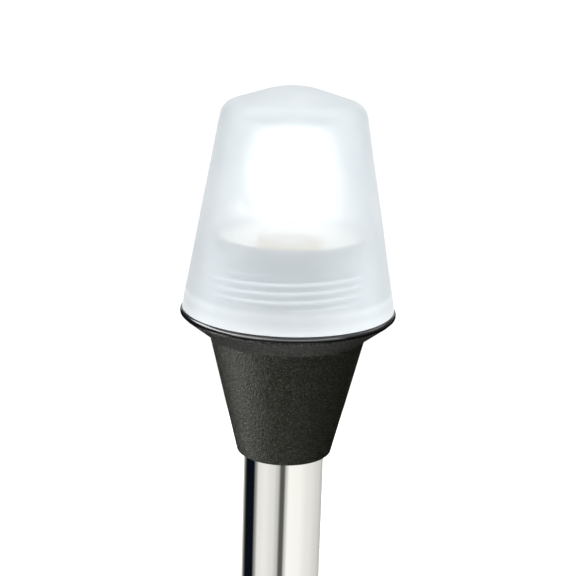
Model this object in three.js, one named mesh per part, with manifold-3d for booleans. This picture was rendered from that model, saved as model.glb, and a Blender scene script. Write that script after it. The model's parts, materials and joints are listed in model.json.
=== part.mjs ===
// A plug-in all-round navigation light: a frosted globe screwed on a black dish and tapered collar, a bayonet
// bulb inside it, a polished tube, and a two-pin plug held in a deck socket by a captive threaded ring.
// Millimetres, +Z up, origin on the tube's axis at the underside of the deck gasket.
import * as THREE from "three";
import { mergeVertices } from "three/addons/utils/BufferGeometryUtils.js";
import Module from "manifold-3d";

// ---------- driving dimensions ----------
const TOUCH = 0.05; // gap between faces that rest on each other
const RUN = 0.3; // gap between faces that slide or turn

const RIM_Z = 200; // the globe's lower edge; every height in the head is measured from it
const GLOBE_R = 24.6; // at the lower edge
const GLOBE_SLOPE = 0.18; // radius lost per unit of height
const GLOBE_WALL = 2.2;
const SHOULDER = 46.9; // where the side and the conical top would meet
const SHOULDER_ROUND = 4.4;
const CROWN_DROP = 1.87; // from the outer shoulder down to the inner one
const TOP_ANGLE = THREE.MathUtils.degToRad(17.3);
const TIP_ROUND = 21;

const SEAL_R = 25;
const SEAL_FOOT = -1.3;
const DISH_R = 24.4;
const DISH_EDGE = 0.4; // thickness of the dish at its edge
const COLLAR_HEAD_R = 18.2;
const COLLAR_HEAD = -6.5;
const COLLAR_FOOT_R = 11.2;
const COLLAR_FOOT = -35.2;

const NECK_R = 18.5;
const NECK_BORE_R = 16.4;
const NECK_TOP = 17.4;
const CAVITY_R = 14.6; // below the neck's bore, for the lamp plate
const CAVITY_TOP = -4;
const CAVITY_FLOOR = -9;
const WIRE_WAY_R = 6.3; // hole from the cavity down into the tube

const GLOBE_THREAD_DEPTH = 1.3;
const GLOBE_THREAD_GAP = 0.5; // from a ridge's crest to the wall it faces
const GLOBE_THREAD_STARTS = 2;
const GLOBE_THREAD_LEAD = 3.9;
const GLOBE_THREAD_FOOT = 3.5;

const SHELL_R = 8.7; // bayonet socket
const SHELL_WALL = 0.7;
const SHELL_TOP = 12;
const CONTACT_X = 3.2;
const BARREL_R = 1.9;
const PLUNGER_R = 1.25;
const PLUNGER_FOOT = -4.4;
const BULB_TRAVEL = 1.8;
const CAP_R = 7.5;
const CAP_FOOT = 0.6;
const CAP_TOP = 16;
const CAP_PIN_R = 1;
const CAP_PIN_Z = 8;
const BULB_R = 13.2;
const BULB_Z = 32;

const TUBE_R = 19.05 / 2; // 3/4 inch tube
const TUBE_WALL = 1.2;
const TUBE_TOP = RIM_Z - 12; // heights below are measured from the deck
const TUBE_FOOT = 20;
const PIN_X = 4;
const PIN_R = 1.6;
const PIN_FOOT = 7.5;
const PIN_TOP = 31;
const PLUG_FOOT = 14;
const WIRE_R = 1.1;

const GASKET_T = 1.5;
const FLANGE_R = 32;
const FLANGE_TOP = 6;
const SCREW_CIRCLE_R = 25;
const SCREW_HOLE_R = 2.25; // clears a no. 8 wood screw
const SCREW_HEAD_R = 4.3;
const SCREW_COUNT = 3;
const BORE_R = 9.95;
const CARRIER_R = 12.5;
const CARRIER_FOOT = 7;
const CARRIER_TOP = 12;
const BOSS_TOP = 26;
const SPIGOT_R = 12.9;
const SPIGOT_TOP = 40;
const RING_THREAD_DEPTH = 1;
const RING_THREAD_GAP = 0.4; // from a ridge's crest to the wall it faces
const RING_THREAD_PITCH = 3;
const RING_R = 17.5;
const RING_FOOT = 26.5;
const RING_TOP = 47;
const RING_SCALLOPS = 18;

const FINE = 48; // sides of the large round pieces
const MEDIUM = 32;
const THREAD_SIDES = 24; // steps of a thread in one turn
const SMALL = 16;
const TINY = 10;
const FRONT = -Math.PI / 2; // compass angle of the side that faces -Y
const REAR = Math.PI / 2;
const TURN = 2 * Math.PI;

const wasm = await Module();
wasm.setup();

// ---------- shape helpers ----------
// An outline from corners [r, z, radius]; a corner with a radius becomes an arc of `steps` pieces.
function outline(corners, steps = 2) {
  const points = [];
  corners.forEach(([r, z, radius], i) => {
    const corner = new THREE.Vector2(r, z);
    if (!radius) {
      points.push(corner);
      return;
    }
    const before = corners[(i + corners.length - 1) % corners.length];
    const after = corners[(i + 1) % corners.length];
    const a = new THREE.Vector2(before[0], before[1]).sub(corner).normalize();
    const b = new THREE.Vector2(after[0], after[1]).sub(corner).normalize();
    const half = Math.acos(a.dot(b)) / 2;
    const centre = a.clone().add(b).setLength(radius / Math.sin(half)).add(corner);
    const from = a.setLength(radius / Math.tan(half)).add(corner).sub(centre).angle();
    const to = b.setLength(radius / Math.tan(half)).add(corner).sub(centre).angle();
    const sweep = THREE.MathUtils.euclideanModulo(to - from + Math.PI, TURN) - Math.PI;
    for (let k = 0; k <= steps; k++) {
      const angle = from + (sweep * k) / steps;
      points.push(new THREE.Vector2(Math.cos(angle), Math.sin(angle)).multiplyScalar(radius).add(centre));
    }
  });
  return points;
}

// A solid of revolution about Z; a profile that does not end on the axis closes on its first point.
function turned(profile, sides = MEDIUM) {
  const points = [...profile];
  if (points[0].x > 0) points.push(points[0].clone());
  return new THREE.LatheGeometry(points, sides).rotateX(Math.PI / 2);
}

const ring = (inner, outer, z0, z1, sides = MEDIUM) =>
  turned(outline([[inner, z0], [outer, z0], [outer, z1], [inner, z1]]), sides);

const rod = (radius, z0, z1, sides = SMALL) =>
  turned(outline([[0, z0], [radius, z0], [radius, z1], [0, z1]]), sides);

// A rod that points outwards along a compass angle, from radius r0 to r1.
const radialRod = (radius, r0, r1, z, angle, sides = SMALL) =>
  rod(radius, r0, r1, sides).rotateY(Math.PI / 2).rotateZ(angle).translate(0, 0, z);

const block = (width, depth, height, x, y, z) =>
  new THREE.BoxGeometry(width, depth, height).translate(x, y, z);

// A curved bar: part of a ring about Z between two compass angles.
function arcBar(inner, outer, z0, z1, from, to) {
  const shape = new THREE.Shape();
  shape.absarc(0, 0, outer, from, to, false);
  shape.absarc(0, 0, inner, to, from, true);
  return new THREE.ExtrudeGeometry(shape, { depth: z1 - z0, bevelEnabled: false, curveSegments: 6 })
    .translate(0, 0, z0);
}

// A helical ridge of a thread: a long box bent round the axis, lower at both ends.
function ridge({ root, crest, foot, lead, turns, start, rootWidth, crestWidth }) {
  const steps = Math.round(THREAD_SIDES * turns);
  const fade = 0.1; // share of the length over which each end rises
  const endHeight = 0.4; // height of the very end, as a share of the full height
  const geometry = new THREE.BoxGeometry(1, 1, 1, 1, 1, steps);
  const position = geometry.attributes.position;
  const outward = Math.sign(crest - root);
  for (let i = 0; i < position.count; i++) {
    const rise = position.getX(i) + 0.5;
    const side = position.getY(i) * outward;
    const along = position.getZ(i) + 0.5;
    const fullness = Math.min(1, endHeight + Math.min(along, 1 - along) / fade);
    const radius = root + (crest - root) * rise * fullness;
    const angle = start + along * turns * TURN;
    const width = rootWidth + (crestWidth - rootWidth) * rise;
    const z = foot + along * turns * lead - side * width;
    position.setXYZ(i, radius * Math.cos(angle), radius * Math.sin(angle), z);
  }
  return geometry;
}

const ridges = (starts, spec) =>
  Array.from({ length: starts }, (_, k) => ridge({ ...spec, start: spec.start + (k * TURN) / starts }));

// A round bar along a smooth curve through its points.
function bentRod(points, radius, steps, roundness = 4) {
  const path = new THREE.CatmullRomCurve3(points.map((p) => new THREE.Vector3(...p)));
  const section = new THREE.Shape().absarc(0, 0, radius, 0, TURN);
  return new THREE.ExtrudeGeometry(section, { extrudePath: path, steps, curveSegments: roundness });
}

function coil(radius, wireR, x, z0, z1, turns) {
  const pointsPerTurn = 6;
  const count = turns * pointsPerTurn;
  const points = Array.from({ length: count + 1 }, (_, k) => {
    const angle = (k / pointsPerTurn) * TURN;
    const z = z0 + wireR + ((z1 - z0 - 2 * wireR) * k) / count;
    return [x + radius * Math.cos(angle), radius * Math.sin(angle), z];
  });
  return bentRod(points, wireR, count, 3);
}

// ---------- joining and cutting ----------
function solid(geometry) {
  const bare = geometry.clone();
  bare.deleteAttribute("normal");
  bare.deleteAttribute("uv");
  const merged = mergeVertices(bare, 1e-4);
  const vertProperties = new Float32Array(merged.attributes.position.array);
  const triVerts = new Uint32Array(merged.index.array);
  return new wasm.Manifold(new wasm.Mesh({ numProp: 3, vertProperties, triVerts }));
}

function combine(base, { add = [], cut = [] }) {
  let made = solid(base);
  for (const piece of add) made = made.add(solid(piece));
  for (const piece of cut) made = made.subtract(solid(piece));
  const mesh = made.getMesh();
  const geometry = new THREE.BufferGeometry();
  geometry.setAttribute("position", new THREE.BufferAttribute(new Float32Array(mesh.vertProperties), 3));
  geometry.setIndex(new THREE.BufferAttribute(new Uint32Array(mesh.triVerts), 1));
  geometry.computeVertexNormals();
  return geometry;
}

// ---------- materials ----------
const finish = (color, roughness, metalness = 0, more = {}) => ({ color, roughness, metalness, ...more });
const finishes = {
  frosted: finish(0xdfe9ee, 0.45, 0, { transparent: true, opacity: 0.6 }),
  blackPlastic: finish(0x2c2c29, 0.55),
  rubber: finish(0x141518, 0.7),
  nylon: finish(0xe9e4d6, 0.5),
  enamel: finish(0xf3f1ea, 0.25),
  brass: finish(0xc8a24a, 0.3, 1),
  steel: finish(0xc4c6c8, 0.3, 1),
  polished: finish(0xe2e2df, 0.08, 1),
  glass: finish(0xf4f7f8, 0.05, 0, { transparent: true, opacity: 0.35 }),
  tungsten: finish(0xffd9a0, 0.5),
  darkGlass: finish(0x141416, 0.2),
  solder: finish(0xaeb0b2, 0.35, 1),
  redPlastic: finish(0xa82220, 0.5),
};

const light = new THREE.Group();

function part(name, finishName, geometry, z = 0) {
  const mesh = new THREE.Mesh(geometry, new THREE.MeshStandardMaterial(finishes[finishName]));
  mesh.name = name;
  mesh.position.z = z;
  light.add(mesh);
}

// The two poles of the circuit lie left and right of the axis.
const POLES = [
  { pole: "live", side: -1, insulation: "redPlastic" },
  { pole: "return", side: 1, insulation: "rubber" },
];

// ---------- head; heights from the rim ----------
const NECK_CREST_R = NECK_R + GLOBE_THREAD_DEPTH;
const GLOBE_BORE_R = NECK_CREST_R + GLOBE_THREAD_GAP;
const GLOBE_CREST_R = NECK_R + GLOBE_THREAD_GAP;
const globeThread = {
  lead: GLOBE_THREAD_LEAD,
  start: FRONT,
  rootWidth: 1.05,
  crestWidth: 0.45,
};
const ROOT_SUNK = 0.3; // how far a ridge's root lies inside the wall it stands on

function globe() {
  const fall = Math.tan(TOP_ANGLE);
  const shoulderR = GLOBE_R - GLOBE_SLOPE * SHOULDER;
  const peak = SHOULDER + shoulderR * fall;
  const innerRim = GLOBE_R - GLOBE_WALL;
  const innerShoulder = SHOULDER - CROWN_DROP;
  const innerShoulderR = innerRim - GLOBE_SLOPE * innerShoulder;
  const innerPeak = innerShoulder + innerShoulderR * fall;
  const boreTop = (innerRim - GLOBE_BORE_R) / GLOBE_SLOPE;
  const tip = (radius, coneTip, steps = 2) => {
    const centre = coneTip - radius / Math.cos(TOP_ANGLE);
    return Array.from({ length: steps + 1 }, (_, k) => {
      const angle = (TOP_ANGLE * k) / steps;
      return new THREE.Vector2(radius * Math.sin(angle), centre + radius * Math.cos(angle));
    });
  };
  const inside = outline([
    [0, innerPeak],
    [innerShoulderR, innerShoulder, SHOULDER_ROUND - GLOBE_WALL],
    [GLOBE_BORE_R, boreTop],
    [GLOBE_BORE_R, 0],
  ], 3).slice(1);
  const outside = outline([
    [GLOBE_BORE_R, 0],
    [GLOBE_R, 0, 0.4],
    [shoulderR, SHOULDER, SHOULDER_ROUND],
    [0, peak],
  ], 3).slice(1, -1);
  const profile = [
    ...tip(TIP_ROUND - GLOBE_WALL, innerPeak),
    ...inside,
    ...outside,
    ...tip(TIP_ROUND, peak).toReversed(),
  ];
  const thread = ridges(GLOBE_THREAD_STARTS, {
    ...globeThread,
    root: GLOBE_BORE_R + ROOT_SUNK,
    crest: GLOBE_CREST_R,
    foot: GLOBE_THREAD_FOOT + GLOBE_THREAD_LEAD / GLOBE_THREAD_STARTS / 2,
    turns: 2,
  });
  return combine(turned(profile, FINE), { add: thread });
}

function globeSeal() {
  const corners = [
    [GLOBE_BORE_R, SEAL_FOOT],
    [SEAL_R, SEAL_FOOT, 0.5],
    [SEAL_R, -TOUCH, 0.5],
    [GLOBE_BORE_R, -TOUCH],
  ];
  return turned(outline(corners), FINE);
}

const COLLAR_SCREW_Z = -24;
const COLLAR_SCREW_R = 2;
const COLLAR_SCREW_DEPTH = 0.8; // of its end under the collar's surface
const PLATE_SCREW_X = 12;
const PLATE_SCREW_R = 1.25;
const PLATE_SCREW_HEAD_R = 2;
const PLATE_SCREW_HOLE_R = 1.4;
const PLATE_SCREW_REACH = 2.6; // into the housing
const collarRadiusAt = (z) =>
  COLLAR_FOOT_R + ((COLLAR_HEAD_R - COLLAR_FOOT_R) * (z - COLLAR_FOOT)) / (COLLAR_HEAD - COLLAR_FOOT);

function headHousing() {
  const seat = SEAL_FOOT - TOUCH;
  const tubeBore = TUBE_R + 2 * TOUCH;
  const corners = [
    [tubeBore, COLLAR_FOOT],
    [COLLAR_FOOT_R, COLLAR_FOOT, 0.2],
    [COLLAR_HEAD_R, COLLAR_HEAD, 0.5],
    [DISH_R, seat - DISH_EDGE],
    [DISH_R, seat],
    [NECK_R, seat],
    [NECK_R, NECK_TOP, 0.6],
    [NECK_BORE_R, NECK_TOP, 0.4],
    [NECK_BORE_R, CAVITY_TOP],
    [CAVITY_R, CAVITY_TOP],
    [CAVITY_R, CAVITY_FLOOR],
    [WIRE_WAY_R, CAVITY_FLOOR],
    [WIRE_WAY_R, TUBE_TOP - RIM_Z + TOUCH],
    [tubeBore, TUBE_TOP - RIM_Z + TOUCH],
  ];
  const thread = ridges(GLOBE_THREAD_STARTS, {
    ...globeThread,
    root: NECK_R - ROOT_SUNK,
    crest: NECK_CREST_R,
    foot: GLOBE_THREAD_FOOT,
    turns: 1.75,
  });
  const holeFoot = CAVITY_FLOOR - PLATE_SCREW_REACH - 0.4;
  const plateHoles = [-1, 1].map((side) =>
    rod(PLATE_SCREW_HOLE_R, holeFoot, CAVITY_FLOOR + 1, TINY).translate(side * PLATE_SCREW_X, 0, 0));
  const screwHole = radialRod(COLLAR_SCREW_R + TOUCH, TUBE_R - 1, COLLAR_HEAD_R, COLLAR_SCREW_Z, REAR);
  return combine(turned(outline(corners), FINE), { add: thread, cut: [...plateHoles, screwHole] });
}

// A grub screw whose slotted end lies just under the collar's surface.
function collarScrew() {
  const outerEnd = collarRadiusAt(COLLAR_SCREW_Z) - COLLAR_SCREW_DEPTH;
  const screw = radialRod(COLLAR_SCREW_R - TOUCH, TUBE_R + TOUCH, outerEnd, COLLAR_SCREW_Z, REAR);
  const slotDepth = 0.8;
  const slot = block(5, 2 * slotDepth, 0.7, 0, outerEnd, COLLAR_SCREW_Z);
  return combine(screw, { cut: [slot] });
}

const PLATE_TOP = CAVITY_FLOOR + 2.5;
const BARREL_FOOT = CAVITY_FLOOR - 1.5;
const BARREL_TOP = -2;

// A disc with a raised middle that fills the foot of the bayonet shell.
function lampPlate() {
  const discR = CAVITY_R - TOUCH * 4;
  const middleR = SHELL_R - SHELL_WALL - TOUCH * 2;
  const middleTop = BARREL_TOP - 0.6;
  const corners = [
    [0, CAVITY_FLOOR + TOUCH],
    [discR, CAVITY_FLOOR + TOUCH],
    [discR, PLATE_TOP, 0.5],
    [middleR, PLATE_TOP],
    [middleR, middleTop, 0.5],
    [0, middleTop],
  ];
  const barrelHoles = [-1, 1].map((side) =>
    rod(BARREL_R + TOUCH, CAVITY_FLOOR - 1, 0).translate(side * CONTACT_X, 0, 0));
  const screwHoles = [-1, 1].map((side) =>
    rod(PLATE_SCREW_HOLE_R, CAVITY_FLOOR - 1, PLATE_TOP + 1, TINY).translate(side * PLATE_SCREW_X, 0, 0));
  return combine(turned(outline(corners)), { cut: [...barrelHoles, ...screwHoles] });
}

function plateScrew(side) {
  const foot = CAVITY_FLOOR - PLATE_SCREW_REACH;
  const headTop = PLATE_TOP + 1.4;
  const slotDepth = 0.7;
  const corners = [
    [0, foot],
    [PLATE_SCREW_R, foot],
    [PLATE_SCREW_R, PLATE_TOP + TOUCH],
    [PLATE_SCREW_HEAD_R, PLATE_TOP + TOUCH],
    [PLATE_SCREW_HEAD_R, headTop - 0.2, 0.6],
    [0, headTop],
  ];
  const slot = block(3 * PLATE_SCREW_HEAD_R, 0.6, 2 * slotDepth, 0, 0, headTop);
  return combine(turned(outline(corners, 2), SMALL), { cut: [slot] }).translate(side * PLATE_SCREW_X, 0, 0);
}

// The bayonet shell: each pin comes down one slot, turns along the cross slot and rises in the short one.
function socketShell() {
  const reach = 0.7; // radians between the two upright slots
  const pinGap = CAP_PIN_R + RUN;
  const slotFoot = CAP_PIN_Z - BULB_TRAVEL - pinGap;
  const crossTop = slotFoot + 2 * pinGap;
  const inner = SHELL_R - SHELL_WALL;
  const flange = 1; // width and thickness of the flange at the shell's foot
  const corners = [
    [inner, PLATE_TOP + TOUCH],
    [SHELL_R + flange, PLATE_TOP + TOUCH],
    [SHELL_R + flange, PLATE_TOP + flange],
    [SHELL_R, PLATE_TOP + flange],
    [SHELL_R, SHELL_TOP],
    [inner, SHELL_TOP],
  ];
  const cuts = [FRONT, REAR].flatMap((angle) => {
    const halfWidth = pinGap / inner;
    const bar = (z0, z1, from, to) => arcBar(inner - 1, SHELL_R + 1, z0, z1, from, to);
    return [
      bar(slotFoot, CAP_PIN_Z + pinGap, angle - halfWidth, angle + halfWidth),
      bar(slotFoot, crossTop, angle - halfWidth, angle + reach + halfWidth),
      bar(slotFoot, SHELL_TOP + 1, angle + reach - halfWidth, angle + reach + halfWidth),
    ];
  });
  return combine(turned(outline(corners)), { cut: cuts });
}

// A white funnel pressed in the neck's mouth, with a hole that the bulb goes through.
function reflector() {
  const wall = 0.6;
  const skirtR = NECK_BORE_R - 0.1;
  const mouthR = SHELL_R + 1.5;
  const mouth = SHELL_TOP + 0.4;
  const top = NECK_TOP - 0.4;
  const skirtFoot = SHELL_TOP - 3;
  const corners = [
    [mouthR, mouth],
    [skirtR - wall, top - 1.3],
    [skirtR - wall, skirtFoot],
    [skirtR, skirtFoot],
    [skirtR, top],
    [mouthR, mouth + wall],
  ];
  return turned(outline(corners), FINE);
}

const BARREL_FLOOR = BARREL_FOOT + 1;

function contactBarrel(side) {
  const bore = PLUNGER_R + 0.2;
  const corners = [
    [0, BARREL_FOOT],
    [BARREL_R, BARREL_FOOT],
    [BARREL_R, BARREL_TOP],
    [bore, BARREL_TOP],
    [bore, BARREL_FLOOR],
    [0, BARREL_FLOOR],
  ];
  return turned(outline(corners), SMALL).translate(side * CONTACT_X, 0, 0);
}

function contactPlunger(side) {
  const corners = [
    [0, PLUNGER_FOOT],
    [PLUNGER_R, PLUNGER_FOOT],
    [PLUNGER_R, -TOUCH, 0.6],
    [0, -TOUCH],
  ];
  return turned(outline(corners), SMALL).translate(side * CONTACT_X, 0, 0);
}

const SPRING_R = 0.9;
const SPRING_WIRE_R = 0.2;
const SPRING_TURNS = 5;
const contactSpring = (side) =>
  coil(SPRING_R, SPRING_WIRE_R, side * CONTACT_X, BARREL_FLOOR + TOUCH, PLUNGER_FOOT - TOUCH, SPRING_TURNS);

function bulbCap() {
  const wall = 0.5;
  const rim = CAP_FOOT + 1.4; // the insulator stands out of the cap below this
  const corners = [
    [CAP_R - wall, rim],
    [CAP_R, rim, 0.4],
    [CAP_R, CAP_TOP],
    [CAP_R - wall, CAP_TOP],
  ];
  const pins = [FRONT, REAR].map((angle) =>
    radialRod(CAP_PIN_R, CAP_R - wall / 2, SHELL_R + 0.6, CAP_PIN_Z, angle));
  return combine(turned(outline(corners)), { add: pins });
}

const INSULATOR_TOP = CAP_FOOT + 3;
const SOLDER_R = 1.8;
const SOLDER_TOP = CAP_FOOT + 0.55;

// The disc fills the cap's foot and carries the two solder contacts in shallow pits.
function capInsulator() {
  const outer = CAP_R - 0.6;
  const corners = [
    [0, CAP_FOOT],
    [outer, CAP_FOOT, 0.5],
    [outer, INSULATOR_TOP],
    [0, INSULATOR_TOP],
  ];
  const pits = [-1, 1].map((side) =>
    rod(SOLDER_R + 2 * TOUCH, 0, SOLDER_TOP + TOUCH).translate(side * CONTACT_X, 0, 0));
  return combine(turned(outline(corners)), { cut: pits });
}

function capContact(side) {
  const corners = [
    [0, 0],
    [SOLDER_R, 0, 0.7],
    [SOLDER_R, SOLDER_TOP],
    [0, SOLDER_TOP],
  ];
  return turned(outline(corners), SMALL).translate(side * CONTACT_X, 0, 0);
}

// The bulb's glass is open at its foot, where it is cemented in the cap.
function bulbGlass() {
  const wall = 0.6;
  const neckR = CAP_R - 0.7;
  const foot = CAP_FOOT + 6;
  const neckTop = CAP_TOP + 2;
  const sphere = (radius, from, to, steps) =>
    Array.from({ length: steps + 1 }, (_, k) => {
      const angle = from + ((to - from) * k) / steps;
      return new THREE.Vector2(radius * Math.cos(angle), BULB_Z + radius * Math.sin(angle));
    });
  const low = -0.75; // angle at which the sphere turns into the neck, in radians
  const innerWall = sphere(BULB_R - wall, Math.PI / 2, low, 8);
  innerWall[0].x = 0;
  const outerWall = sphere(BULB_R, low, Math.PI / 2, 8);
  outerWall[outerWall.length - 1].x = 0;
  const profile = [
    ...innerWall,
    new THREE.Vector2(neckR - wall, neckTop),
    new THREE.Vector2(neckR - wall, foot),
    new THREE.Vector2(neckR, foot),
    new THREE.Vector2(neckR, neckTop),
    ...outerWall,
  ];
  return turned(profile, 28);
}

const FILAMENT_Z = BULB_Z - 2;
const FILAMENT_COIL_R = 0.7;
const FILAMENT_WIRE_R = 0.18;
const SUPPORT_X = 4.5;
const SUPPORT_R = 0.35;
const STEM_R = 2;
const STEM_FOOT_R = 4.5;
const STEM_TOP = CAP_TOP + 6;

// A glass stem with two wires that hold the filament's ends.
function filamentMount() {
  const stem = turned(outline([
    [0, INSULATOR_TOP + TOUCH],
    [STEM_FOOT_R, INSULATOR_TOP + TOUCH],
    [STEM_R, CAP_TOP + 2, 2],
    [STEM_R, STEM_TOP, 1],
    [0, STEM_TOP],
  ]), SMALL);
  const supports = [-1, 1].map((side) => bentRod([
    [side, 0, CAP_TOP],
    [side * 1.4, 0, STEM_TOP],
    [side * SUPPORT_X, 0, FILAMENT_Z - 5],
    [side * SUPPORT_X, 0, FILAMENT_Z - 0.5],
  ], SUPPORT_R, 12, 3));
  return combine(stem, { add: supports });
}

// A fine coil arched between the two supports.
function filament() {
  const turns = 8;
  const perTurn = 8;
  const count = turns * perTurn;
  const rise = 2;
  const points = Array.from({ length: count + 1 }, (_, k) => {
    const along = (2 * k) / count - 1;
    const angle = (k / perTurn) * TURN;
    const z = FILAMENT_Z + 1 + rise * (1 - along * along);
    return [
      along * (SUPPORT_X - 0.2),
      FILAMENT_COIL_R * Math.sin(angle),
      z + FILAMENT_COIL_R * Math.cos(angle),
    ];
  });
  return bentRod(points, FILAMENT_WIRE_R, count, 2);
}

// ---------- tube and plug; heights from the deck ----------
const poleTube = () => ring(TUBE_R - TUBE_WALL, TUBE_R, TUBE_FOOT + TOUCH, TUBE_TOP, FINE);

// A wire from its plug pin to its lamp contact, curving slightly to and fro in the tube.
function tubeWire(side) {
  const foot = PIN_TOP + TOUCH;
  const top = RIM_Z + BARREL_FOOT - TOUCH;
  const span = top - foot;
  const stations = [0, 0.04, 0.2, 0.4, 0.6, 0.8, 0.97, 1]; // shares of the span; straight at both ends
  const swayDepth = 1.6;
  const points = stations.map((along, i) => {
    const inTheMiddle = i > 1 && i < stations.length - 2;
    const sway = inTheMiddle ? swayDepth * Math.sin(i * 2.2 + side) : 0;
    const x = side * THREE.MathUtils.lerp(PIN_X, CONTACT_X, along);
    return [x, sway, foot + span * along];
  });
  return bentRod(points, WIRE_R, 24);
}

const GROOVE_FOOT = PLUG_FOOT + 1.5;
const GROOVE_TOP = GROOVE_FOOT + 2;
const GROOVE_R = TUBE_R - 1.4;

// The plug's body: a shoulder with a seal groove below the tube, and a spigot up into the tube.
function plugInsert() {
  const shoulderR = TUBE_R - 0.1;
  const spigotR = TUBE_R - TUBE_WALL - 0.1;
  const spigotTop = PIN_TOP - 2;
  const corners = [
    [0, PLUG_FOOT],
    [shoulderR, PLUG_FOOT, 0.6],
    [shoulderR, GROOVE_FOOT],
    [GROOVE_R, GROOVE_FOOT],
    [GROOVE_R, GROOVE_TOP],
    [shoulderR, GROOVE_TOP],
    [shoulderR, TUBE_FOOT],
    [spigotR, TUBE_FOOT],
    [spigotR, spigotTop, 0.5],
    [0, spigotTop],
  ];
  const holes = POLES.map(({ side }) =>
    rod(PIN_R + TOUCH, PLUG_FOOT - 1, PIN_TOP).translate(side * PIN_X, 0, 0));
  return combine(turned(outline(corners), MEDIUM), { cut: holes });
}

const plugSeal = () => {
  const inner = GROOVE_R + TOUCH;
  const outer = TUBE_R + 0.15;
  const corners = [
    [inner, GROOVE_FOOT + TOUCH],
    [outer, GROOVE_FOOT + TOUCH, 0.6],
    [outer, GROOVE_TOP - TOUCH, 0.6],
    [inner, GROOVE_TOP - TOUCH],
  ];
  return turned(outline(corners), MEDIUM);
};

function plugPin(side) {
  const corners = [
    [0, PIN_FOOT],
    [PIN_R, PIN_FOOT, 1],
    [PIN_R, PIN_TOP],
    [0, PIN_TOP],
  ];
  return turned(outline(corners), SMALL).translate(side * PIN_X, 0, 0);
}

// ---------- deck socket; heights from the deck ----------
const screwAngles = Array.from({ length: SCREW_COUNT }, (_, k) => REAR + (k * TURN) / SCREW_COUNT);
const RECESS_R = CARRIER_R + 0.1;
const GASKET_BORE_R = 14;
const BOSS_FOOT_R = 16.8;
const BOSS_TOP_R = 15.2;
const RING_THREAD_FOOT = BOSS_TOP + 3;
const ringThread = {
  lead: RING_THREAD_PITCH,
  start: FRONT,
  rootWidth: 1.4,
  crestWidth: 0.6,
};

function baseGasket() {
  const holes = screwAngles.map((angle) =>
    rod(SCREW_HOLE_R + RUN, -1, GASKET_T + 1).translate(SCREW_CIRCLE_R, 0, 0).rotateZ(angle));
  return combine(ring(GASKET_BORE_R, FLANGE_R - 0.6, 0, GASKET_T), { cut: holes });
}

function deckBase() {
  const corners = [
    [RECESS_R, GASKET_T + TOUCH],
    [FLANGE_R, GASKET_T + TOUCH],
    [FLANGE_R, FLANGE_TOP - 1.5, 1.4],
    [FLANGE_R - 3, FLANGE_TOP, 2],
    [BOSS_FOOT_R, FLANGE_TOP, 1.5],
    [BOSS_TOP_R, BOSS_TOP, 0.6],
    [SPIGOT_R, BOSS_TOP],
    [SPIGOT_R, SPIGOT_TOP, 0.5],
    [BORE_R, SPIGOT_TOP, 0.5],
    [BORE_R, CARRIER_TOP + TOUCH],
    [RECESS_R, CARRIER_TOP + TOUCH],
  ];
  const thread = ridges(1, {
    ...ringThread,
    root: SPIGOT_R - ROOT_SUNK,
    crest: SPIGOT_R + RING_THREAD_DEPTH,
    foot: RING_THREAD_FOOT,
    turns: 2.75,
  });
  const countersink = outline([
    [0, 0],
    [SCREW_HOLE_R, 0],
    [SCREW_HOLE_R, FLANGE_TOP - 2],
    [SCREW_HEAD_R, FLANGE_TOP],
    [SCREW_HEAD_R, FLANGE_TOP + 1],
    [0, FLANGE_TOP + 1],
  ]);
  const holes = screwAngles.map((angle) =>
    turned(countersink, 24).translate(SCREW_CIRCLE_R, 0, 0).rotateZ(angle));
  return combine(turned(outline(corners), MEDIUM), { add: thread, cut: holes });
}

const SLEEVE_R = 2.7;
const SLEEVE_TOP = PLUG_FOOT - 0.6;
const SLEEVE_FOOT = 2.4;
const SLEEVE_FLOOR = CARRIER_FOOT - 0.5;
const WIRE_HOLE_R = 1.2;
const WIRE_HOLE_TOP = SLEEVE_FOOT + 2.8;
const TERMINAL_Z = SLEEVE_FOOT + 1.8;
const TERMINAL_HOLE_R = 1;
const TERMINAL_HEAD = 1.3; // how far the head stands out from the sleeve

function contactCarrier() {
  const holes = POLES.map(({ side }) =>
    rod(SLEEVE_R + TOUCH, CARRIER_FOOT - 1, CARRIER_TOP + 1, 24).translate(side * PIN_X, 0, 0));
  return combine(rod(CARRIER_R, CARRIER_FOOT, CARRIER_TOP, MEDIUM), { cut: holes });
}

// A sleeve for the pin, with a wire hole and a screw hole in its solid foot.
function socketContact(side) {
  const bore = PIN_R + RUN;
  const corners = [
    [0, SLEEVE_FOOT],
    [SLEEVE_R, SLEEVE_FOOT],
    [SLEEVE_R, SLEEVE_TOP],
    [bore, SLEEVE_TOP],
    [bore, SLEEVE_FLOOR],
    [0, SLEEVE_FLOOR],
  ];
  const wireHole = rod(WIRE_HOLE_R, SLEEVE_FOOT - 1, WIRE_HOLE_TOP);
  const screwHole = radialRod(TERMINAL_HOLE_R, 0, SLEEVE_R + 1, TERMINAL_Z, FRONT);
  return combine(turned(outline(corners), 24), { cut: [wireHole, screwHole] }).translate(side * PIN_X, 0, 0);
}

function terminalScrew(side) {
  const headEnd = SLEEVE_R + TERMINAL_HEAD;
  const shank = radialRod(TERMINAL_HOLE_R - 2 * TOUCH, WIRE_HOLE_R + 0.2, SLEEVE_R + 0.6, TERMINAL_Z, FRONT);
  const head = radialRod(1.6, SLEEVE_R + TOUCH, headEnd, TERMINAL_Z, FRONT);
  const slotDepth = 0.4;
  const slot = block(0.5, 2 * slotDepth, 4, 0, -headEnd, TERMINAL_Z);
  return combine(shank, { add: [head], cut: [slot] }).translate(side * PIN_X, 0, 0);
}

const GLAND_TOP = SPIGOT_TOP + 2.4;
const WASHER_TOP = GLAND_TOP + 1.6;

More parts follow.
